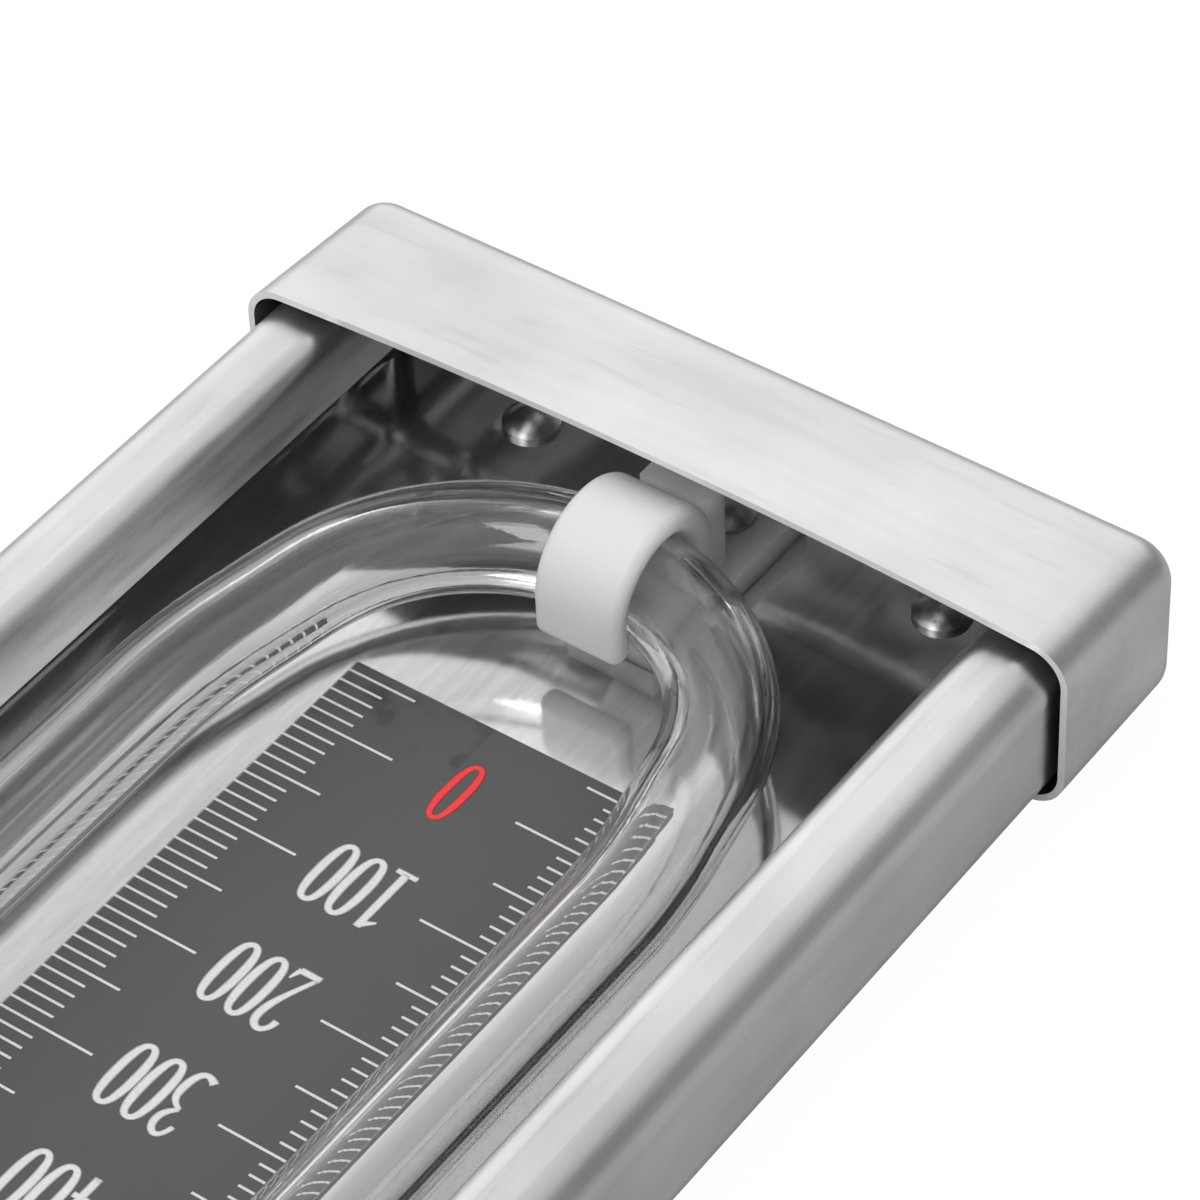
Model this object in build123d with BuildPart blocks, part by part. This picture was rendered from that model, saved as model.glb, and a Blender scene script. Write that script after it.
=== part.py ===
"""U tube manometer: a bent glass tube over a printed scale, in a case folded from stainless sheet.

The instrument lies on its back. +Y runs up the scale to the hose ends, +X is to the right as read
and +Z points out of the scale. The origin is the middle of its length and width, on the plane that
the back rests on. All sizes are in millimetres.
"""

import os
from math import cos, radians, sin

from build123d import *

# Case: a channel folded from one sheet, with a pressed cap over each end
cap_width = 66.0
cap_height = 13.8
cap_depth = 14.0
cap_sheet = 0.5
cap_corner_radius = 3.0
cap_end_radius = 2.0
cap_front_bow = 1.3
cap_front_fall = 0.8
channel_sheet = 0.6
channel_depth = 12.0
channel_side_gap = 0.6
channel_end_gap = 0.1
back_bend_radius = 2.7
flange_bend_radius = 2.6
lip_bend_radius = 2.0
flange_width = 5.8
lip_drop = 3.7
lip_angle = 62.0

# Scale plate, lying flat on the back of the channel
scale_length = 204.0
above_scale_length = 40.6
plate_width = 25.0
plate_sheet = 0.4
plate_margin = 6.0

# Glass tube, bent to a U with legs that flare a little out of the bend
tube_diameter = 7.6
tube_wall = 1.2
tube_stand_off = 1.9
leg_spacing = 35.8
bend_pinch = 1.6
bend_drop = 18.3
flare_angle = 11.5
flare_radius = 40.0
nozzle_length = 22.0
nozzle_rim_radius = 0.5

# Nylon clips that hook over the tube
clip_width = 6.9
clip_wall = 1.9
clip_clearance = 0.05
clip_lip_drop = 3.0
clip_post_depth = 2.6
clip_post_width = 5.5
clip_post_rise = 2.7
clip_foot_length = 6.6
clip_foot_width = 8.6
clip_foot_height = 2.0
clip_seat_length = 2.0
clip_lip_radius = 0.8
clip_edge_radius = 0.8
clip_post_radius = 1.0
bottom_clip_shift = -0.7
bottom_clip_inset = 5.45
upper_clip_inset = 10.0

# Rivets with a domed head inside the case and a low set tail behind it
rivet_head_radius = 2.1
rivet_head_height = 1.2
rivet_head_rim = 0.35
rivet_shank_radius = 1.2
rivet_tail_radius = 1.9
rivet_tail_height = 0.4
rivet_hole_clearance = 0.1
cap_rivet_spacing = 34.0
cap_rivet_inset = 3.7

# Rubber bushes that hold the legs in the top cap
bush_hole_radius = 4.5
bush_flange_radius = 5.3
bush_flange_height = 1.3
bush_sleeve_length = 1.2
bush_edge_radius = 0.4
bush_clearance = 0.05

# Hanging tab, riveted inside the top cap and passing out through a slot in its end
tab_width = 12.0
tab_sheet = 1.0
tab_reach = 13.0
tab_overlap = 12.5
tab_rivet_inset = 7.5
tab_hole_radius = 2.5
tab_hole_inset = 5.0
tab_corner_radius = 4.0
tab_slot_clearance = 0.15

# Heights above the plane that the set rivet tails rest on
cap_rear_z = rivet_tail_height
cap_front_z = cap_rear_z + cap_height
channel_rear_z = cap_rear_z + cap_sheet
channel_front_z = channel_rear_z + channel_depth
back_z = channel_rear_z + channel_sheet
scale_z = back_z + plate_sheet
tube_radius = tube_diameter / 2
tube_z = scale_z + tube_stand_off + tube_radius

# Places along and across the instrument
clip_outer_radius = tube_radius + clip_clearance + clip_wall
clip_rivet_reach = clip_outer_radius + clip_post_depth + clip_foot_length / 2
zero_line_height = bottom_clip_inset + clip_rivet_reach + bend_drop
case_length = zero_line_height + scale_length + above_scale_length
overall_length = case_length + nozzle_length
case_bottom_y = -overall_length / 2
case_top_y = case_bottom_y + case_length
case_middle_y = (case_bottom_y + case_top_y) / 2
zero_line_y = case_bottom_y + zero_line_height
tube_top_y = case_top_y + nozzle_length
bend_bottom_y = zero_line_y - bend_drop
upper_clip_y = case_top_y - cap_depth - upper_clip_inset
channel_width = cap_width - 2 * (cap_sheet + channel_side_gap)
channel_length = case_length - 2 * (cap_end_radius + channel_end_gap)
leg_x = leg_spacing / 2
bottom_rivet_y = case_bottom_y + cap_rivet_inset
top_rivet_y = case_top_y - cap_rivet_inset
tab_rivet_y = case_top_y - tab_rivet_inset
bottom_clip_rivet = (bottom_clip_shift, bend_bottom_y - clip_rivet_reach)
upper_clip_rivets = [(side * (leg_x - clip_rivet_reach), upper_clip_y) for side in (-1, 1)]
cap_rivet_x = cap_rivet_spacing / 2
rivet_hole_radius = rivet_shank_radius + rivet_hole_clearance


def facing_down_y(y):
    """A drawing plane across the instrument at y: its own y is up, and it extrudes towards -Y."""
    return Plane(origin=(0, y, 0), x_dir=(1, 0, 0), z_dir=(0, -1, 0))


# Case channel: back, two sides, and a flange with a return lip along each side
with BuildPart() as case_channel:
    with BuildSketch(facing_down_y(case_middle_y + channel_length / 2)) as channel_section:
        with BuildLine() as channel_fold:
            half_width = channel_width / 2
            lip_root_x = half_width - flange_width
            lip_edge_x = lip_root_x - lip_drop * cos(radians(lip_angle)) / sin(radians(lip_angle))
            right_side = [
                (lip_edge_x, channel_front_z - lip_drop),
                (lip_root_x, channel_front_z),
                (half_width, channel_front_z),
                (half_width, channel_rear_z),
            ]
            left_side = [(-x, z) for x, z in reversed(right_side)]
            side_radii = [lip_bend_radius, flange_bend_radius, back_bend_radius]
            FilletPolyline(*right_side, *left_side, radius=side_radii + side_radii[::-1])
            offset(amount=channel_sheet, side=Side.RIGHT)
        make_face()
    extrude(amount=channel_length)
    with Locations((bottom_clip_rivet[0], bottom_clip_rivet[1], back_z), (0, tab_rivet_y, back_z)):
        Hole(rivet_hole_radius, depth=channel_sheet)
    with Locations([(x, y, back_z) for x, y in upper_clip_rivets]):
        Hole(rivet_hole_radius, depth=channel_sheet)
    for rivet_y in (bottom_rivet_y, top_rivet_y):
        with Locations((-cap_rivet_x, rivet_y, back_z), (cap_rivet_x, rivet_y, back_z)):
            Hole(rivet_hole_radius, depth=channel_sheet)


def cap_form(inset):
    """The outside of the bottom cap, or with an inset the hollow inside it, open towards +Y."""
    half_width = cap_width / 2 - inset
    rear_z = cap_rear_z + inset
    closed_section = (case_bottom_y + inset, cap_front_z - cap_front_fall - inset, 0)
    open_section = (case_bottom_y + cap_depth, cap_front_z - inset, cap_front_bow)
    with BuildPart() as form:
        for y, front_z, bow in (closed_section, open_section):
            with BuildSketch(facing_down_y(y)):
                with BuildLine():
                    Polyline(
                        (half_width, front_z),
                        (half_width, rear_z),
                        (-half_width, rear_z),
                        (-half_width, front_z),
                    )
                    if bow:
                        ThreePointArc((-half_width, front_z), (0, front_z + bow), (half_width, front_z))
                    else:
                        Line((-half_width, front_z), (half_width, front_z))
                outline = make_face()
                fillet(outline.vertices(), radius=cap_corner_radius - inset)
        loft()
        closed_end = form.faces().sort_by(Axis.Y)[0]
        fillet(closed_end.edges(), radius=cap_end_radius - inset)
    return form.part


# End caps: pressed from one sheet each, alike apart from the holes
with BuildPart() as cap_blank:
    add(cap_form(0))
    add(cap_form(cap_sheet), mode=Mode.SUBTRACT)

with BuildPart() as bottom_end_cap:
    add(cap_blank.part)
    rear_holes = [(-cap_rivet_x, bottom_rivet_y), (cap_rivet_x, bottom_rivet_y), bottom_clip_rivet]
    with Locations([(x, y, channel_rear_z) for x, y in rear_holes]):
        Hole(rivet_hole_radius, depth=cap_sheet)

with BuildPart() as top_end_cap:
    add(mirror(cap_blank.part, about=Plane.XZ.offset(-case_middle_y)))
    rear_holes = [(-cap_rivet_x, top_rivet_y), (cap_rivet_x, top_rivet_y), (0, tab_rivet_y)]
    with Locations([(x, y, channel_rear_z) for x, y in rear_holes]):
        Hole(rivet_hole_radius, depth=cap_sheet)
    with BuildSketch(facing_down_y(case_top_y)):
        with Locations((-leg_x, tube_z), (leg_x, tube_z)):
            Circle(bush_hole_radius)
        with Locations((0, back_z + tab_sheet / 2)):
            Rectangle(tab_width + 2 * tab_slot_clearance, tab_sheet + 2 * tab_slot_clearance)
    extrude(amount=cap_end_radius, mode=Mode.SUBTRACT)


# Scale plate: a flat strip with its print left to the finish
with BuildPart() as scale_plate:
    plate_length = scale_length + 2 * plate_margin
    plate_middle_y = zero_line_y + scale_length / 2
    with BuildSketch(Plane.XY.offset(back_z)):
        with Locations((0, plate_middle_y)):
            Rectangle(plate_width, plate_length)
    extrude(amount=plate_sheet)


def tube_form(radius):
    """A round bar of the given radius along the centre line of the glass, from rim to rim."""
    bend_radius = leg_x - bend_pinch
    flare_shift = flare_radius * (1 - cos(radians(flare_angle)))
    run_shift = leg_x - flare_shift - bend_radius * cos(radians(flare_angle))
    run_length = run_shift / sin(radians(flare_angle))
    rise = (
        flare_radius * sin(radians(flare_angle))
        + run_length * cos(radians(flare_angle))
        + bend_radius * (1 - sin(radians(flare_angle)))
    )
    with BuildPart() as form:
        with BuildLine(Plane.XY.offset(tube_z)) as centre_line:
            left_leg = Line((-leg_x, tube_top_y), (-leg_x, bend_bottom_y + rise))
            left_flare = JernArc(left_leg @ 1, left_leg % 1, flare_radius, flare_angle)
            left_run = Line(left_flare @ 1, left_flare @ 1 + (left_flare % 1) * run_length)
            bend = JernArc(left_run @ 1, left_run % 1, bend_radius, 180 - 2 * flare_angle)
            right_run = Line(bend @ 1, bend @ 1 + (bend % 1) * run_length)
            right_flare = JernArc(right_run @ 1, right_run % 1, flare_radius, flare_angle)
            Line(right_flare @ 1, (leg_x, tube_top_y))
        with BuildSketch(facing_down_y(tube_top_y)):
            with Locations((-leg_x, tube_z)):
                Circle(radius)
        sweep(path=centre_line.line)
    return form.part


# Glass U tube: one drawn tube with fire polished rims
with BuildPart() as glass_u_tube:
    add(tube_form(tube_radius))
    add(tube_form(tube_radius - tube_wall), mode=Mode.SUBTRACT)
    rims = glass_u_tube.edges().filter_by_position(Axis.Y, tube_top_y, tube_top_y)
    fillet(rims, radius=nozzle_rim_radius)


def tube_clip(tube_x, tube_y, foot_direction):
    """A moulded hook over the tube at tube_x, tube_y, with its post and foot towards foot_direction."""
    across_foot = foot_direction.cross(Vector(0, 0, 1))
    side = Plane(origin=(tube_x, tube_y, 0), x_dir=foot_direction, z_dir=across_foot)
    inner_radius = tube_radius + clip_clearance
    outer_radius = clip_outer_radius
    lip_end_z = tube_z - clip_lip_drop
    seat_top_z = tube_z - tube_radius - clip_clearance
    post_end = outer_radius + clip_post_depth
    foot_end = post_end + clip_foot_length
    with BuildPart() as clip:
        with BuildSketch(side) as hook_section:
            with BuildLine():
                outside = Line((-outer_radius, lip_end_z), (-outer_radius, tube_z))
                ThreePointArc(outside @ 1, (0, tube_z + outer_radius), (outer_radius, tube_z))
                Polyline(
                    (outer_radius, tube_z),
                    (outer_radius, back_z),
                    (-clip_seat_length, back_z),
                    (-clip_seat_length, seat_top_z),
                    (inner_radius, seat_top_z),
                    (inner_radius, tube_z),
                )
                ThreePointArc((inner_radius, tube_z), (0, tube_z + inner_radius), (-inner_radius, tube_z))
                Polyline((-inner_radius, tube_z), (-inner_radius, lip_end_z), (-outer_radius, lip_end_z))
            make_face()
            lip_corners = hook_section.vertices().filter_by_position(Axis.Y, lip_end_z, lip_end_z)
            fillet(lip_corners, radius=clip_lip_radius)
        extrude(amount=clip_width / 2, both=True)
        outer_arches = clip.edges().filter_by(GeomType.CIRCLE).group_by(SortBy.RADIUS)[-1]
        fillet(outer_arches, radius=clip_edge_radius)
        base = Plane(origin=(tube_x, tube_y, back_z), x_dir=foot_direction, z_dir=(0, 0, 1))
        with BuildSketch(base) as post_plan:
            with Locations(((outer_radius + post_end) / 2, 0)):
                Rectangle(clip_post_depth, clip_post_width)
            outer_corners = post_plan.vertices().sort_by(Axis((0, 0, 0), foot_direction))[-2:]
            fillet(outer_corners, radius=clip_post_radius)
        extrude(amount=tube_z + clip_post_rise - back_z)
        with BuildSketch(side):
            with Locations(((outer_radius + foot_end) / 2, back_z)):
                Rectangle(foot_end - outer_radius, clip_foot_height, align=(Align.CENTER, Align.MIN))
        extrude(amount=clip_foot_width / 2, both=True)
        rivet_place = Vector(tube_x, tube_y, back_z + clip_foot_height) + foot_direction * clip_rivet_reach
        with Locations(rivet_place):
            Hole(rivet_hole_radius, depth=clip_foot_height)
    return clip.part


# Nylon clips: three of one moulding, one over the bend and one over the top of each leg
with BuildPart() as bottom_tube_clip:
    add(tube_clip(bottom_clip_shift, bend_bottom_y, Vector(0, -1, 0)))
    add(tube_form(tube_radius + clip_clearance), mode=Mode.SUBTRACT)

with BuildPart() as left_tube_clip:
    add(tube_clip(-leg_x, upper_clip_y, Vector(1, 0, 0)))

with BuildPart() as right_tube_clip:
    add(tube_clip(leg_x, upper_clip_y, Vector(-1, 0, 0)))


# Rubber bushes: one round each leg, pushed into the end wall of the top cap from outside
def tube_bush(tube_x):
    """A rubber sleeve round the leg at tube_x, with a flange against the cap's end wall."""
    sleeve_end_y = case_top_y - cap_sheet - bush_sleeve_length
    bore = tube_radius + bush_clearance
    sleeve_radius = bush_hole_radius - bush_clearance
    leg_axis = Axis((tube_x, 0, tube_z), (0, 1, 0))
    with BuildPart() as bush:
        with BuildSketch(Plane.XY.offset(tube_z)):
            with BuildLine():
                Polyline(
                    (tube_x + bore, sleeve_end_y),
                    (tube_x + sleeve_radius, sleeve_end_y),
                    (tube_x + sleeve_radius, case_top_y),
                    (tube_x + bush_flange_radius, case_top_y),
                    (tube_x + bush_flange_radius, case_top_y + bush_flange_height),
                    (tube_x + bore, case_top_y + bush_flange_height),
                    close=True,
                )
            make_face()
        revolve(axis=leg_axis)
        rims = bush.edges().filter_by(GeomType.CIRCLE).group_by(SortBy.RADIUS)[-1]
        fillet(rims.sort_by(Axis.Y)[-1], radius=bush_edge_radius)
    return bush.part


with BuildPart() as left_tube_bush:
    add(tube_bush(-leg_x))

with BuildPart() as right_tube_bush:
    add(tube_bush(leg_x))


# Hanging tab: a strip with a hole, lying on the back of the channel inside the top cap
with BuildPart() as hanging_tab:
    with BuildSketch(Plane.XY.offset(back_z)) as tab_outline:
        tab_bottom_y = case_top_y - tab_overlap
        with Locations((0, tab_bottom_y)):
            Rectangle(tab_width, tab_overlap + tab_reach, align=(Align.CENTER, Align.MIN))
        fillet(tab_outline.vertices().group_by(Axis.Y)[-1], radius=tab_corner_radius)
        with Locations((0, case_top_y + tab_reach - tab_hole_inset)):
            Circle(tab_hole_radius, mode=Mode.SUBTRACT)
        with Locations((0, tab_rivet_y)):
            Circle(rivet_hole_radius, mode=Mode.SUBTRACT)
    extrude(amount=tab_sheet)


def rivet(x, y, seat_z, rear_z):
    """A rivet through the sheets between seat_z, under its domed head, and rear_z, over its tail."""
    rim_z = seat_z + rivet_head_rim
    top_z = seat_z + rivet_head_height
    tail_z = rear_z - rivet_tail_height
    dome_radius = (rivet_head_radius**2 + (top_z - rim_z) ** 2) / (2 * (top_z - rim_z))
    with BuildPart() as fastener:
        with BuildSketch(Plane(origin=(x, y, 0), x_dir=(1, 0, 0), z_dir=(0, -1, 0))):
            with BuildLine():
                stem = Polyline(
                    (0, tail_z),
                    (rivet_tail_radius, tail_z),
                    (rivet_tail_radius, rear_z),
                    (rivet_shank_radius, rear_z),
                    (rivet_shank_radius, seat_z),
                    (rivet_head_radius, seat_z),
                    (rivet_head_radius, rim_z),
                )
                RadiusArc(stem @ 1, (0, top_z), -dome_radius)
                Line((0, top_z), (0, tail_z))
            make_face()
        revolve(axis=Axis((x, y, 0), (0, 0, 1)))
    return fastener.part


# Rivets: two through each end cap, one through each clip and one through the hanging tab
foot_z = back_z + clip_foot_height
rivet_places = {
    "bottom_cap_left_rivet": (-cap_rivet_x, bottom_rivet_y, back_z, cap_rear_z),
    "bottom_cap_right_rivet": (cap_rivet_x, bottom_rivet_y, back_z, cap_rear_z),
    "top_cap_left_rivet": (-cap_rivet_x, top_rivet_y, back_z, cap_rear_z),
    "top_cap_right_rivet": (cap_rivet_x, top_rivet_y, back_z, cap_rear_z),
    "hanging_tab_rivet": (0, tab_rivet_y, back_z + tab_sheet, cap_rear_z),
    "bottom_clip_rivet": (*bottom_clip_rivet, foot_z, cap_rear_z),
    "left_clip_rivet": (*upper_clip_rivets[0], foot_z, channel_rear_z),
    "right_clip_rivet": (*upper_clip_rivets[1], foot_z, channel_rear_z),
}
rivets = {}
for name, place in rivet_places.items():
    with BuildPart() as one_rivet:
        add(rivet(*place))
    rivets[name] = one_rivet.part

pieces = {
    "case_channel": case_channel.part,
    "bottom_end_cap": bottom_end_cap.part,
    "top_end_cap": top_end_cap.part,
    "scale_plate": scale_plate.part,
    "glass_u_tube": glass_u_tube.part,
    "bottom_tube_clip": bottom_tube_clip.part,
    "left_tube_clip": left_tube_clip.part,
    "right_tube_clip": right_tube_clip.part,
    "left_tube_bush": left_tube_bush.part,
    "right_tube_bush": right_tube_bush.part,
    "hanging_tab": hanging_tab.part,
    **rivets,
}

os.makedirs("parts", exist_ok=True)
for name, piece in pieces.items():
    piece.label = name
    export_step(piece, f"parts/{name}.step")
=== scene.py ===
from math import cos, pi, radians, sin

import bpy
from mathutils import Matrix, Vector


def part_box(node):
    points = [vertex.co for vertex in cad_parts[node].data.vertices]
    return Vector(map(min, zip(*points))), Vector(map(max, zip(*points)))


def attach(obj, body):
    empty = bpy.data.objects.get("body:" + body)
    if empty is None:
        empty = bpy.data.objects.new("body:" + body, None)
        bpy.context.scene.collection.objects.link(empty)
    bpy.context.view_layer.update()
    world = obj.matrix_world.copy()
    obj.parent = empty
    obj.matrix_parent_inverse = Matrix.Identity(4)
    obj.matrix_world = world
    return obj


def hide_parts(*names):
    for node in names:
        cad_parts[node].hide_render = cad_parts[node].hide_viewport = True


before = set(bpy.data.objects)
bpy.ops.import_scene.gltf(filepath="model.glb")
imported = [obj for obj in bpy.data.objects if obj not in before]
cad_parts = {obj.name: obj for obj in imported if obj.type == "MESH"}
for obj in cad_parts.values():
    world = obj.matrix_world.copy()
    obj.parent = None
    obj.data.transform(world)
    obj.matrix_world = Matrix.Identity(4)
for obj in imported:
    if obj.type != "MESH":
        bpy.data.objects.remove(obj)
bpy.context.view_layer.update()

bpy.ops.object.select_all(action="DESELECT")


# Case channel: one stainless sheet folded to a back, two sides and two front flanges with a
# return lip. Its outside is satin from the rolls and from handling, and the inside is still mill
# bright but given a lower tone as painted shade. Faces turned towards the middle are darkened in
# blotches.
class Wire:
    """A socket in a finish's nodes. It adds, multiplies and compares as a number does."""

    def __init__(self, tree, socket=None):
        self.tree = tree
        self.socket = socket

    def node(self, kind, settings=None, inputs=None, output=0):
        """Adds one node, with its settings first and then the values or links of its sockets."""
        added = self.tree.nodes.new(kind)
        for name, value in (settings or {}).items():
            setattr(added, name, value)
        for name, value in (inputs or {}).items():
            if isinstance(value, Wire):
                self.tree.links.new(value.socket, added.inputs[name])
            else:
                added.inputs[name].default_value = value
        return Wire(self.tree, added.outputs[output])

    def math(self, operation, *values):
        """A Math node on the values."""
        return self.node("ShaderNodeMath", {"operation": operation}, dict(enumerate(values)))

    def __add__(self, other):
        return self.math("ADD", self, other)

    def __sub__(self, other):
        return self.math("SUBTRACT", self, other)

    def __rsub__(self, other):
        return self.math("SUBTRACT", other, self)

    def __mul__(self, other):
        return self.math("MULTIPLY", self, other)

    def __lt__(self, other):
        return self.math("LESS_THAN", self, other)

    def __gt__(self, other):
        return self.math("GREATER_THAN", self, other)

    def __abs__(self):
        return self.math("ABSOLUTE", self)

    __radd__ = __add__
    __rmul__ = __mul__

    def step(self, low, high):
        """0 below low and 1 above high, with a soft ramp between."""
        settings = {"interpolation_type": "SMOOTHSTEP"}
        return self.node("ShaderNodeMapRange", settings, {0: self, 1: low, 2: high})

    def axes(self):
        """The three parts of a vector."""
        return [self.node("ShaderNodeSeparateXYZ", None, {0: self}, axis) for axis in range(3)]

    def cloud(self, scale, detail=2.0, roughness=0.5):
        """Smooth noise over this place, from about 0 to 1, with scale as its lumps to a metre."""
        stretched = self.node("ShaderNodeVectorMath", {"operation": "MULTIPLY"}, {0: self, 1: scale})
        inputs = {"Vector": stretched, "Scale": 1.0, "Detail": detail, "Roughness": roughness}
        return self.node("ShaderNodeTexNoise", None, inputs)

    def blend(self, low, high):
        """The colour low where this is 0 and high where it is 1."""
        return self.node("ShaderNodeMix", {"data_type": "RGBA"}, {0: self, 6: low, 7: high}, 2)


def new_finish(name, **uniform):
    """A material, a wire to start from in its nodes, and its shader with the uniform values set."""
    material = bpy.data.materials.new(name)
    material.use_nodes = True
    shader = material.node_tree.nodes["Principled BSDF"]
    for socket, value in uniform.items():
        shader.inputs[socket].default_value = value
    return material, Wire(material.node_tree), shader


def feed(shader, **sockets):
    """Links wires to the shader's sockets."""
    for name, wire in sockets.items():
        wire.tree.links.new(wire.socket, shader.inputs[name.replace("_", " ")])


def relief_from(height, strength, depth):
    """A normal that follows the height, of which one unit is depth metres."""
    inputs = {"Strength": strength, "Distance": depth, "Height": height}
    return height.node("ShaderNodeBump", None, inputs)


def tint(red, green, blue):
    """A colour from three wires."""
    return red.node("ShaderNodeCombineColor", None, {0: red, 1: green, 2: blue})


def grey(value):
    """A grey as a plain colour value."""
    return (value, value, value, 1)


def coat_node(node, material):
    """Puts a finish on a CAD node."""
    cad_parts[node].material_slots[0].material = material


def sheet_finish(name, grain, side_x, depth_z, side_y=None, open_y=None, bright=0.82, shade=0.76):
    """Stainless sheet that is satin outside and polished inside.

    The grain is how many streaks a metre has along each axis. A point is inside where its normal
    turns towards the middle of its side, at side_x, depth_z and, on a cap, side_y. The sheared
    edge of a cap lies at open_y. The tone is bright outside and shade inside, a lower tone that
    is painted shade in the hollow.
    """
    material, start, shader = new_finish(name, Metallic=1.0)
    place = start.node("ShaderNodeTexCoord", output="Object")
    normal = start.node("ShaderNodeTexCoord", output="Normal")

    def grain_cloud(fineness, detail, roughness=0.5):
        """Streaks that are as many times finer than the grain as fineness says."""
        return place.cloud([value * fineness for value in grain], detail, roughness)

    x, y, z = place.axes()
    normal_x, normal_y, normal_z = normal.axes()
    side = x.math("SIGN", x)
    facing = normal_x * (x - side_x * side) + normal_z * (z - depth_z)
    if side_y is not None:
        facing = facing + normal_y * (y - side_y)
    inside = facing < -1e-6

    streaks = grain_cloud(1, detail=5.0, roughness=0.6)
    scuffs = grain_cloud(6, detail=3.0)
    scratches = grain_cloud(7, detail=2.0).step(0.60, 0.72)
    patches = place.cloud([85.0, 85.0, 85.0], detail=3.0)
    # Faces whose normal turns towards the middle of the channel are darkened in blotches.
    lip = (-1 * normal_x * side).step(0.30, 0.70)
    inward_blotches = lip * grain_cloud(4, detail=5.0).step(0.46, 0.66)
    tone = 1 + 0.44 * (streaks - 0.5) + 0.42 * (patches - 0.5) - 0.06 * scratches - 0.30 * inward_blotches
    outer_tone = bright * tone
    outer_gloss = 0.33 + 0.16 * (scuffs - 0.5) + 0.10 * (patches - 0.5)

    # Inside, the floor beside the scale plate on the -X side is darkened as painted shade, in streaks
    # along the grain.
    drawn = grain_cloud(4, detail=4.0, roughness=0.7)
    painted_side_shade = (-1 * x).step(0.0125, 0.0150) * (0.4 + 1.2 * drawn)
    inner_tone = shade * (1 + 0.6 * (drawn - 0.5) - 0.30 * painted_side_shade)
    inner_gloss = 0.05 + 0.10 * drawn

    level = outer_tone + inside * (inner_tone - outer_tone)
    gloss = outer_gloss + inside * (inner_gloss - outer_gloss)
    metal = 1 - 0.09 * inside
    if open_y is not None:
        edge = (abs(normal_y) > 0.9) * (abs(y - open_y) < 0.0004)
        level = level + edge * (0.80 - level)
        gloss = gloss + edge * (0.30 - gloss)
        metal = metal - 0.8 * edge
    fine = grain_cloud(25, detail=2.0)
    waves = place.cloud([60.0, 30.0, 60.0], detail=1.0)
    height = fine * (1 - inside) + (12 + 48 * inside) * waves
    relief = relief_from(height, strength=0.35, depth=0.00002)
    colour = tint(level, level, 1.005 * level)
    feed(shader, Base_Color=colour, Roughness=gloss, Metallic=metal, Normal=relief)
    return material


trough_x = 0.0275
along_channel = (160.0, 14.0, 160.0)
coat_node("case_channel", sheet_finish("channel_steel", along_channel, side_x=trough_x, depth_z=0.0069))


# End caps: two shallow boxes pressed from thinner stainless sheet, pushed over the ends of the
# channel and riveted through the back. The rolled grain runs across them, and the sheared edge of
# each opening shows paler and duller than the faces.
across_cap = (16.0, 150.0, 150.0)
rim_to_hollow = 0.003
# A cap is open towards the middle of the case, at the high end of its box or at the low one.
for cap, open_end, outwards in (("bottom", 1, -1), ("top", 0, 1)):
    open_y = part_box(f"{cap}_end_cap")[open_end].y
    # The caps' inside tone is lower still, as painted shade in their hollow.
    cap_steel = sheet_finish(
        f"{cap}_cap_steel",
        across_cap,
        side_x=trough_x,
        depth_z=0.0072,
        side_y=open_y + outwards * rim_to_hollow,
        open_y=open_y,
        shade=0.70,
    )
    coat_node(f"{cap}_end_cap", cap_steel)


# Scale plate: a flat aluminium strip, lacquered dark grey and printed with a white scale. Its
# long edges are cut bare, and its bottom end is smudged from handling.
plate_low, plate_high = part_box("scale_plate")
plate_margin = 0.006
zero_y = plate_low.y + plate_margin
plate_lacquer, start, shader = new_finish("plate_lacquer")
place = start.node("ShaderNodeTexCoord", output="Object")
x, y, z = place.axes()
mottle = place.cloud([220.0, 160.0, 220.0], detail=6.0, roughness=0.65)
long_edge = abs(x) > plate_high.x - 0.00012
near_end = 1 - (y - plate_low.y).step(0.003, 0.008)
smudge = near_end * (x > 0.001) * place.cloud([260.0, 260.0, 260.0], detail=4.0).step(0.42, 0.60)
tone = 0.084 + 0.016 * (mottle - 0.5) + 0.22 * long_edge - 0.05 * smudge
gloss = 0.38 + 0.16 * (mottle - 0.5)
feed(shader, Base_Color=tint(tone, tone, tone), Roughness=gloss)
coat_node("scale_plate", plate_lacquer)


# Tick marks: white lines screen printed every 10 pascals from 50 below the zero to 2000, with a
# longer one every 50 and the longest every 100, from both edges of the plate inwards. The scale
# reads a column of water, of which 100 pascals lift 10.2 mm.
pascal = 0.0102 / 100
hundreds = 20
ink_height = 0.00002
tick_width = 0.00019
tick_inner_x = 0.0090
longer_tick_inner_x = {50: 0.0070, 0: 0.0050}


def print_ink(name, colour):
    """A matt screen ink, a little uneven from the mesh."""
    material, start, shader = new_finish(name, Roughness=0.55)
    place = start.node("ShaderNodeTexCoord", output="Object")
    mesh_print = place.cloud([9000.0, 9000.0, 9000.0], detail=2.0)
    dull = [channel * 0.86 for channel in colour[:3]] + [1]
    feed(shader, Base_Color=mesh_print.step(0.3, 0.6).blend(dull, colour))
    return material


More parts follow.
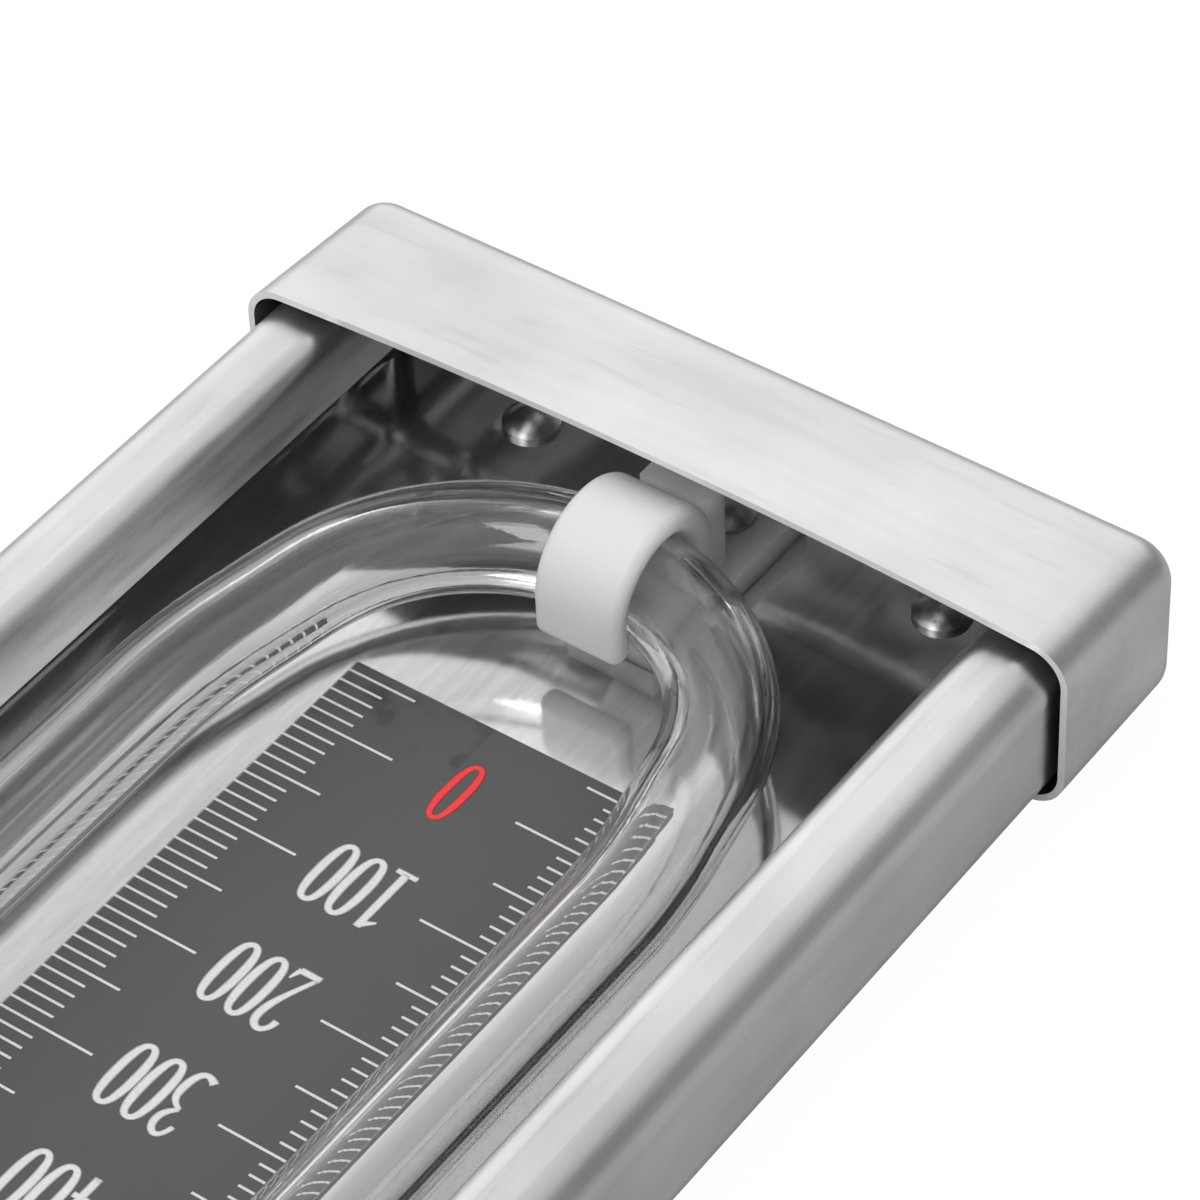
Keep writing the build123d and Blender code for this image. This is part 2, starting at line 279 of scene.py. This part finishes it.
white_ink = print_ink("white_ink", grey(0.76))
bpy.ops.object.select_all(action="DESELECT")
group_marks = []
for pascals in range(-50, 50, 10):
    inner_x = longer_tick_inner_x.get(abs(pascals), tick_inner_x)
    outer_x = plate_high.x
    bpy.ops.mesh.primitive_cube_add(
        size=1,
        location=((inner_x + outer_x) / 2, zero_y + pascals * pascal, plate_high.z + ink_height / 2),
        scale=(outer_x - inner_x, tick_width, ink_height),
    )
    group_marks.append(bpy.context.object)
for mark in group_marks:
    mark.select_set(True)
bpy.ops.object.join()
ticks = bpy.context.object
ticks.name = "tick_marks"
bpy.ops.object.transform_apply(location=True, rotation=True, scale=True)
repeat = ticks.modifiers.new("hundreds", "ARRAY")
repeat.use_relative_offset = False
repeat.use_constant_offset = True
repeat.constant_offset_displace = (0, 100 * pascal, 0)
repeat.count = hundreds + 1
ticks.modifiers.new("other_edge", "MIRROR")
for name in ("hundreds", "other_edge"):
    bpy.ops.object.modifier_apply(modifier=name)
bpy.ops.object.mode_set(mode="EDIT")
bpy.ops.mesh.select_all(action="DESELECT")
bpy.ops.object.mode_set(mode="OBJECT")
past_last_y = zero_y + (100 * hundreds + 5) * pascal
for vertex in ticks.data.vertices:
    vertex.select = vertex.co.y > past_last_y
bpy.ops.object.mode_set(mode="EDIT")
bpy.ops.mesh.delete(type="VERT")
bpy.ops.mesh.select_all(action="SELECT")
bpy.ops.mesh.normals_make_consistent(inside=False)
bpy.ops.object.mode_set(mode="OBJECT")
ticks.data.materials.append(white_ink)
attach(ticks, "root")


# Numbers: tall condensed figures printed at each hundred, white, and red for the zero. Each is
# drawn as pen strokes that swell and thin, closed or open, with the place and the width of their
# turns in millimetres, and pressed flat to the thickness of the ink.
pen_strokes = {
    "0": [(True, [(0.74, 0, 0.66), (0.72, 1.1, 0.66), (0.52, 2.35, 0.52), (0, 2.71, 0.40),
                  (-0.52, 2.35, 0.52), (-0.72, 1.1, 0.66), (-0.74, 0, 0.66), (-0.72, -1.1, 0.66),
                  (-0.52, -2.35, 0.52), (0, -2.71, 0.40), (0.52, -2.35, 0.52), (0.72, -1.1, 0.66)])],
    "1": [(False, [(0.1, 2.72, 0.56), (0.1, 1.2, 0.60), (0.1, -1.2, 0.60), (0.1, -2.6, 0.60)]),
          (False, [(-0.82, 1.78, 0.16), (-0.45, 2.05, 0.34), (0.02, 2.35, 0.56)]),
          (False, [(-0.75, -2.62, 0.40), (0, -2.62, 0.44), (0.9, -2.62, 0.40)])],
    "2": [(False, [(-0.70, 1.62, 0.55), (-0.66, 2.25, 0.42), (0, 2.85, 0.44), (0.72, 2.25, 0.60),
                   (0.66, 0.9, 0.62), (0.1, -0.7, 0.40), (-0.72, -2.45, 0.34)]),
          (False, [(-0.92, -2.60, 0.46), (0, -2.60, 0.50), (0.70, -2.60, 0.52)]),
          (False, [(0.62, -2.62, 0.50), (0.80, -2.3, 0.36), (0.94, -1.70, 0.16)])],
    "3": [(False, [(-0.74, 1.72, 0.40), (-0.60, 2.4, 0.36), (0, 2.88, 0.42), (0.64, 2.2, 0.56),
                   (0.55, 0.95, 0.52), (-0.20, 0.42, 0.30)]),
          (False, [(-0.20, 0.42, 0.30), (0.62, 0.10, 0.44), (0.82, -1.2, 0.66), (0.55, -2.5, 0.52),
                   (-0.15, -2.82, 0.40), (-0.72, -2.35, 0.62)])],
    "4": [(False, [(0.30, 2.72, 0.34), (-0.28, 1.1, 0.28), (-0.92, -0.85, 0.30)]),
          (False, [(-0.98, -1.0, 0.44), (0, -1.0, 0.46), (1.0, -1.0, 0.44)]),
          (False, [(0.38, 2.72, 0.46), (0.38, 0, 0.60), (0.38, -2.78, 0.60)])],
    "5": [(False, [(-0.50, 2.45, 0.52), (0.1, 2.45, 0.52), (0.78, 2.50, 0.50)]),
          (False, [(-0.50, 2.45, 0.30), (-0.56, 1.5, 0.26), (-0.66, 0.45, 0.24)]),
          (False, [(-0.66, 0.45, 0.26), (0, 0.95, 0.40), (0.80, 0.3, 0.62), (0.80, -1.5, 0.66),
                   (0.30, -2.8, 0.46), (-0.40, -2.72, 0.42), (-0.76, -2.2, 0.56)])],
    "6": [(False, [(0.74, 2.05, 0.50), (0.45, 2.70, 0.42), (-0.50, 2.6, 0.50), (-0.80, 0.9, 0.64),
                   (-0.80, -1.2, 0.66), (-0.45, -2.78, 0.46), (0.40, -2.80, 0.46), (0.82, -1.5, 0.62),
                   (0.62, 0.35, 0.52), (-0.20, 0.62, 0.36), (-0.66, -0.2, 0.30)])],
    "7": [(False, [(-0.84, 1.62, 0.20), (-0.78, 2.05, 0.36), (-0.70, 2.45, 0.46)]),
          (False, [(-0.72, 2.48, 0.50), (0.1, 2.48, 0.52), (0.84, 2.50, 0.44)]),
          (False, [(0.84, 2.50, 0.32), (0.35, 0.9, 0.40), (-0.12, -0.9, 0.56), (-0.20, -2.7, 0.62)])],
    "8": [(True, [(0.60, 1.45, 0.50), (0.40, 2.35, 0.46), (-0.40, 2.35, 0.46), (-0.60, 1.45, 0.50),
                  (-0.40, 0.5, 0.42), (0.40, 0.5, 0.42)]),
          (True, [(0.76, -1.2, 0.60), (0.45, -2.65, 0.46), (-0.45, -2.65, 0.46), (-0.76, -1.2, 0.60),
                  (-0.40, 0.15, 0.42), (0.40, 0.15, 0.42)])],
}
pen_strokes["9"] = [(closed, [(-x, -y, width) for x, y, width in stroke])
                    for closed, stroke in pen_strokes["6"]]
stroke_weight = 1.12
stroke_flatness = 0.07
figure_pitch = 0.00220
figure_shift = 0.0001
zero_shift = -0.00018
zero_scale = (0.94, 0.99, 1)


def printed_figure(character):
    """One figure as a flat mesh round the origin."""
    bpy.ops.curve.primitive_nurbs_path_add()
    figure = bpy.context.object
    curve = figure.data
    curve.splines.clear()
    for closed, stroke in pen_strokes[character]:
        spline = curve.splines.new("NURBS")
        spline.points.add(len(stroke) - 1)
        for point, (x, y, width) in zip(spline.points, stroke):
            point.co = (x / 1000, y / 1000, 0, 1)
            point.radius = width * stroke_weight / 2000
        spline.order_u = 3
        spline.use_cyclic_u = closed
        spline.use_endpoint_u = not closed
        spline.resolution_u = 6
    curve.dimensions = "3D"
    curve.bevel_depth = 1
    curve.bevel_resolution = 1
    curve.use_fill_caps = True
    bpy.ops.object.convert(target="MESH")
    figure = bpy.context.object
    for vertex in figure.data.vertices:
        vertex.co.z *= stroke_flatness
    bpy.ops.object.mode_set(mode="EDIT")
    bpy.ops.mesh.select_all(action="SELECT")
    bpy.ops.mesh.remove_doubles(threshold=1e-7)
    bpy.ops.mesh.normals_make_consistent(inside=False)
    bpy.ops.object.mode_set(mode="OBJECT")
    return figure


masters = {character: printed_figure(character) for character in "0123456789"}
figure_z = plate_high.z + ink_height / 4
numbers = []
for hundred in range(1, hundreds + 1):
    text = str(hundred * 100)
    for index, character in enumerate(text):
        copy = masters[character].copy()
        copy.data = masters[character].data.copy()
        bpy.context.collection.objects.link(copy)
        across = (index - (len(text) - 1) / 2) * figure_pitch
        copy.location = (across + figure_shift, zero_y + hundred * 100 * pascal, figure_z)
        numbers.append(copy)
bpy.ops.object.select_all(action="DESELECT")
for figure in numbers:
    figure.select_set(True)
bpy.context.view_layer.objects.active = numbers[0]
bpy.ops.object.join()
scale_numbers = bpy.context.object
scale_numbers.name = "scale_numbers"
bpy.ops.object.transform_apply(location=True, rotation=True, scale=True)
scale_numbers.data.materials.append(white_ink)
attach(scale_numbers, "root")

bpy.ops.object.select_all(action="DESELECT")
red_zero = masters["0"].copy()
red_zero.data = masters["0"].data.copy()
red_zero.name = "red_zero"
bpy.context.collection.objects.link(red_zero)
red_zero.location = (zero_shift, zero_y, figure_z)
red_zero.scale = zero_scale
red_zero.select_set(True)
bpy.context.view_layer.objects.active = red_zero
bpy.ops.object.transform_apply(location=True, rotation=True, scale=True)
red_zero.data.materials.append(print_ink("red_ink", (0.86, 0.055, 0.06, 1)))
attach(red_zero, "root")
for master in masters.values():
    bpy.data.objects.remove(master)


# Glass U tube: one length of drawn borosilicate tube, bent hot to a U and fire polished at both
# rims. Drawing leaves faint lines along the legs. It is drawn on from one rim to the other, finer
# than the CAD piece that it replaces, because facets show in clear glass.
tube_wall = 0.0012
bend_pinch = 0.0016
flare_angle = radians(11.5)
flare_radius = 0.040
rim_radius = 0.0005
tube_low, tube_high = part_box("glass_u_tube")
tube_radius = (tube_high.z - tube_low.z) / 2
tube_z = (tube_high.z + tube_low.z) / 2
leg_x = tube_high.x - tube_radius
bend_radius = leg_x - bend_pinch
bend_y = tube_low.y + tube_radius + bend_radius
run_shift = leg_x - flare_radius * (1 - cos(flare_angle)) - bend_radius * cos(flare_angle)
run_length = run_shift / sin(flare_angle)
run_end_y = bend_y - bend_radius * sin(flare_angle)
flare_y = run_end_y + run_length * cos(flare_angle) + flare_radius * sin(flare_angle)

bpy.ops.object.select_all(action="DESELECT")
rim_circles = []
for radius in (tube_radius, tube_radius - tube_wall):
    bpy.ops.mesh.primitive_circle_add(
        vertices=64, radius=radius, location=(-leg_x, tube_high.y, tube_z), rotation=(pi / 2, 0, 0)
    )
    rim_circles.append(bpy.context.object)
for circle in rim_circles:
    circle.select_set(True)
bpy.ops.object.join()
glass_tube = bpy.context.object
glass_tube.name = "glass_tube"
bpy.ops.object.transform_apply(location=True, rotation=True, scale=True)
bpy.ops.object.mode_set(mode="EDIT")
bpy.ops.mesh.select_all(action="SELECT")
bpy.ops.mesh.bridge_edge_loops()
bpy.ops.mesh.select_all(action="SELECT")


def draw_straight(x, y, steps=1):
    """Draws the tube on from its selected end by x and y."""
    for _ in range(steps):
        bpy.ops.mesh.extrude_region_move(TRANSFORM_OT_translate={"value": (x / steps, y / steps, 0)})


def bend_hot(x, y, angle, steps):
    """Bends the tube on from its selected end, round a centre at x and y."""
    bpy.ops.mesh.spin(steps=steps, angle=-angle, center=(x, y, tube_z), axis=(0, 0, 1))


run_x = run_length * sin(flare_angle)
run_y = run_length * cos(flare_angle)
draw_straight(0, flare_y - tube_high.y, steps=12)
bend_hot(flare_radius - leg_x, flare_y, flare_angle, steps=8)
draw_straight(run_x, -run_y)
bend_hot(0, bend_y, pi - 2 * flare_angle, steps=60)
draw_straight(run_x, run_y)
bend_hot(leg_x - flare_radius, flare_y, flare_angle, steps=8)
draw_straight(0, tube_high.y - flare_y, steps=12)
bpy.ops.mesh.select_all(action="SELECT")
bpy.ops.mesh.remove_doubles(threshold=1e-7)
bpy.ops.mesh.normals_make_consistent(inside=False)
bpy.ops.object.mode_set(mode="OBJECT")
rim_bevel = glass_tube.modifiers.new("rims", "BEVEL")
rim_bevel.width = rim_radius
rim_bevel.segments = 4
rim_bevel.limit_method = "ANGLE"
rim_bevel.angle_limit = radians(60)
bpy.ops.object.modifier_apply(modifier="rims")
bpy.ops.object.shade_smooth_by_angle(angle=radians(50))

clear_glass, start, shader = new_finish(
    "clear_glass",
    **{
        "Base Color": (0.985, 0.99, 0.988, 1),
        "Roughness": 0.0,
        "Transmission Weight": 0.985,
        "IOR": 1.47,
    },
)
place = start.node("ShaderNodeTexCoord", output="Object")
lines = place.cloud([420.0, 6.0, 420.0], detail=4.0, roughness=0.6)
feed(shader, Normal=relief_from(lines, strength=0.35, depth=0.00006))
glass_tube.data.materials.append(clear_glass)
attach(glass_tube, "root")
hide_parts("glass_u_tube")


# Tube clips: three hooks moulded in natural nylon, which let some light into their body. One
# holds the bend, and one holds the top of each leg.
nylon, start, shader = new_finish(
    "natural_nylon",
    **{
        "Roughness": 0.42,
        "Subsurface Weight": 1.0,
        "Subsurface Radius": (1.0, 0.95, 0.9),
        "Subsurface Scale": 0.006,
        "IOR": 1.53,
    },
)
place = start.node("ShaderNodeTexCoord", output="Object")
haze = place.cloud([260.0, 260.0, 260.0], detail=4.0)
skin = place.cloud([2600.0, 2600.0, 2600.0], detail=2.0)
relief = relief_from(skin, strength=0.2, depth=0.00004)
feed(shader, Base_Color=haze.blend((0.76, 0.76, 0.75, 1), (0.82, 0.82, 0.81, 1)), Normal=relief)
for node in ("bottom_tube_clip", "left_tube_clip", "right_tube_clip"):
    coat_node(node, nylon)


# Tube bushes: two black rubber grommets pushed into the top cap, which grip the legs where they
# leave the case.
rubber, start, shader = new_finish("black_rubber", Roughness=0.62)
place = start.node("ShaderNodeTexCoord", output="Object")
bloom = place.cloud([900.0, 900.0, 900.0], detail=5.0)
skin = place.cloud([5200.0, 5200.0, 5200.0], detail=2.0)
relief = relief_from(skin, strength=0.3, depth=0.00005)
feed(shader, Base_Color=bloom.blend(grey(0.018), grey(0.040)), Normal=relief)
for node in ("left_tube_bush", "right_tube_bush"):
    coat_node(node, rubber)


# Hanging tab: a strip cut across the grain from thicker and darker stainless, riveted inside the
# top cap. Its middle is put far below it, so that only its underside counts as inside.
across_tab = (30.0, 160.0, 160.0)
coat_node("hanging_tab", sheet_finish("tab_steel", across_tab, side_x=0.0, depth_z=-1.0, bright=0.68))


# Rivets: steel rivets with a domed head and a set tail, dented and clouded by the setting tool.
# Their tone is painted darker than the sheets, as shade, so that they sit in the dark of the caps.
rivet_steel, start, shader = new_finish("rivet_steel", Metallic=1.0)
place = start.node("ShaderNodeTexCoord", output="Object")
dints = place.cloud([1400.0, 1400.0, 1400.0], detail=4.0)
relief = relief_from(dints, strength=0.4, depth=0.00006)
feed(shader, Base_Color=dints.blend(grey(0.36), grey(0.56)), Roughness=0.22 + 0.16 * dints, Normal=relief)
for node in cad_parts:
    if node.endswith("rivet"):
        coat_node(node, rivet_steel)


# Studio: a pale table that the camera sees as white, a soft sky that is brightest to one side
# and dark overhead, which the bright sheet faces reflect, and a wide soft lamp above the case.
bpy.ops.mesh.primitive_plane_add(size=6, location=(0, 0, 0))
table = bpy.context.object
table.name = "table"
table_white, start, shader = new_finish("table_white", **{"Base Color": grey(0.39), "Roughness": 0.7})
seen = start.node("ShaderNodeLightPath", output="Is Camera Ray")
through = start.node("ShaderNodeLightPath", output="Is Transmission Ray")
white_light = start.node("ShaderNodeEmission", None, {"Color": grey(1.0), "Strength": 1.05})
shaded = Wire(start.tree, shader.outputs[0])
whiteness = 0.93 * seen.math("MAXIMUM", seen, through)
mixed = start.node("ShaderNodeMixShader", None, {0: whiteness, 1: shaded, 2: white_light})
output = table_white.node_tree.nodes["Material Output"]
start.tree.links.new(mixed.socket, output.inputs["Surface"])
table.data.materials.append(table_white)

world = bpy.data.worlds.new("studio")
bpy.context.scene.world = world
world.use_nodes = True
start = Wire(world.node_tree)
direction = start.node("ShaderNodeTexCoord", output="Generated")
bright_side = Vector((0.60, -0.10, 0.79)).normalized()
nearness = start.node(
    "ShaderNodeVectorMath", {"operation": "DOT_PRODUCT"}, {0: direction, 1: bright_side}, "Value"
)
elevation = direction.axes()[2]
overhead = elevation.step(0.70, 0.80)
mirrored_sky = 0.24 + 0.76 * nearness.step(0.10, 0.70) * (1 - 0.5 * overhead)
seen = start.node("ShaderNodeLightPath", output="Is Camera Ray")
refracted = start.node("ShaderNodeLightPath", output="Is Transmission Ray")
through = refracted * (0.7 + 0.3 * (elevation < 0.25))
diffuse = start.node("ShaderNodeLightPath", output="Is Diffuse Ray")
sky = mirrored_sky + diffuse * (0.95 - mirrored_sky)
sky = sky + seen.math("MAXIMUM", seen, through) * (1 - sky)
background = world.node_tree.nodes["Background"]
start.tree.links.new(sky.socket, background.inputs["Color"])

lamp_place = Vector((0.1, 0.7, 1.3))
bpy.ops.object.light_add(type="AREA", location=lamp_place)
lamp = bpy.context.object
lamp.name = "top_soft_box"
lamp.rotation_euler = (-lamp_place).to_track_quat("-Z", "Y").to_euler()
lamp.data.shape = "RECTANGLE"
lamp.data.size = 0.45
lamp.data.size_y = 0.8
lamp.data.energy = 5

bpy.ops.object.camera_add(
    location=(-0.155150, 0.069280, 0.252312),
    rotation=[radians(angle) for angle in (45.8528, 1.9124, -144.2367)],
)
camera = bpy.context.object
camera.data.lens = 161.117
camera.data.sensor_width = 36
camera.data.clip_start = 0.01
bpy.context.scene.camera = camera
bpy.context.scene.view_settings.view_transform = "Standard"
